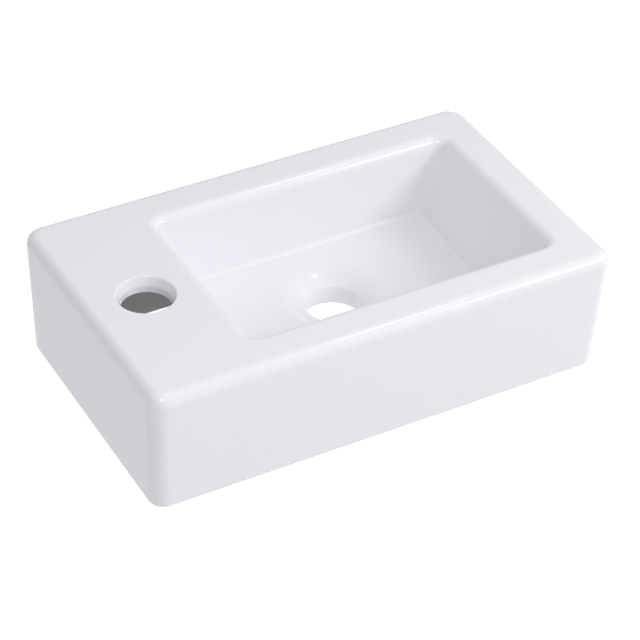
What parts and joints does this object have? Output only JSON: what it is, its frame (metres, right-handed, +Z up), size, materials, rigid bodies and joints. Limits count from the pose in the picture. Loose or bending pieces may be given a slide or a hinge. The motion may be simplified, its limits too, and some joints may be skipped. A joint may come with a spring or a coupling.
{
  "type": "wall hung basin",
  "caption": "Small rectangular wall hung basin in glazed china, with a tap ledge at one end, a sloping bowl with a round waste hole, and its wall fixings.",
  "frame": {"origin": "on the wall's face, midway between the two fixing bolts", "axes": "+X along the basin to the right as seen from the room, +Y into the wall, +Z up"},
  "size_m": [0.3734, 0.2858, 0.106],
  "materials": {
    "glazed_china": "white glazed vitreous china, high gloss",
    "plug_nylon": "grey moulded nylon, satin",
    "sleeve_nylon": "natural white nylon, satin",
    "zinc_plated_steel": "bright zinc plating, satin"
  },
  "bodies": {
    "root": {"basin": "glazed_china", "wall_plug_left": "plug_nylon", "hanger_bolt_left": "zinc_plated_steel", "flanged_sleeve_left": "sleeve_nylon", "washer_left": "zinc_plated_steel", "hex_nut_left": "zinc_plated_steel", "wall_plug_right": "plug_nylon", "hanger_bolt_right": "zinc_plated_steel", "flanged_sleeve_right": "sleeve_nylon", "washer_right": "zinc_plated_steel", "hex_nut_right": "zinc_plated_steel"}
  },
  "joints": []
}
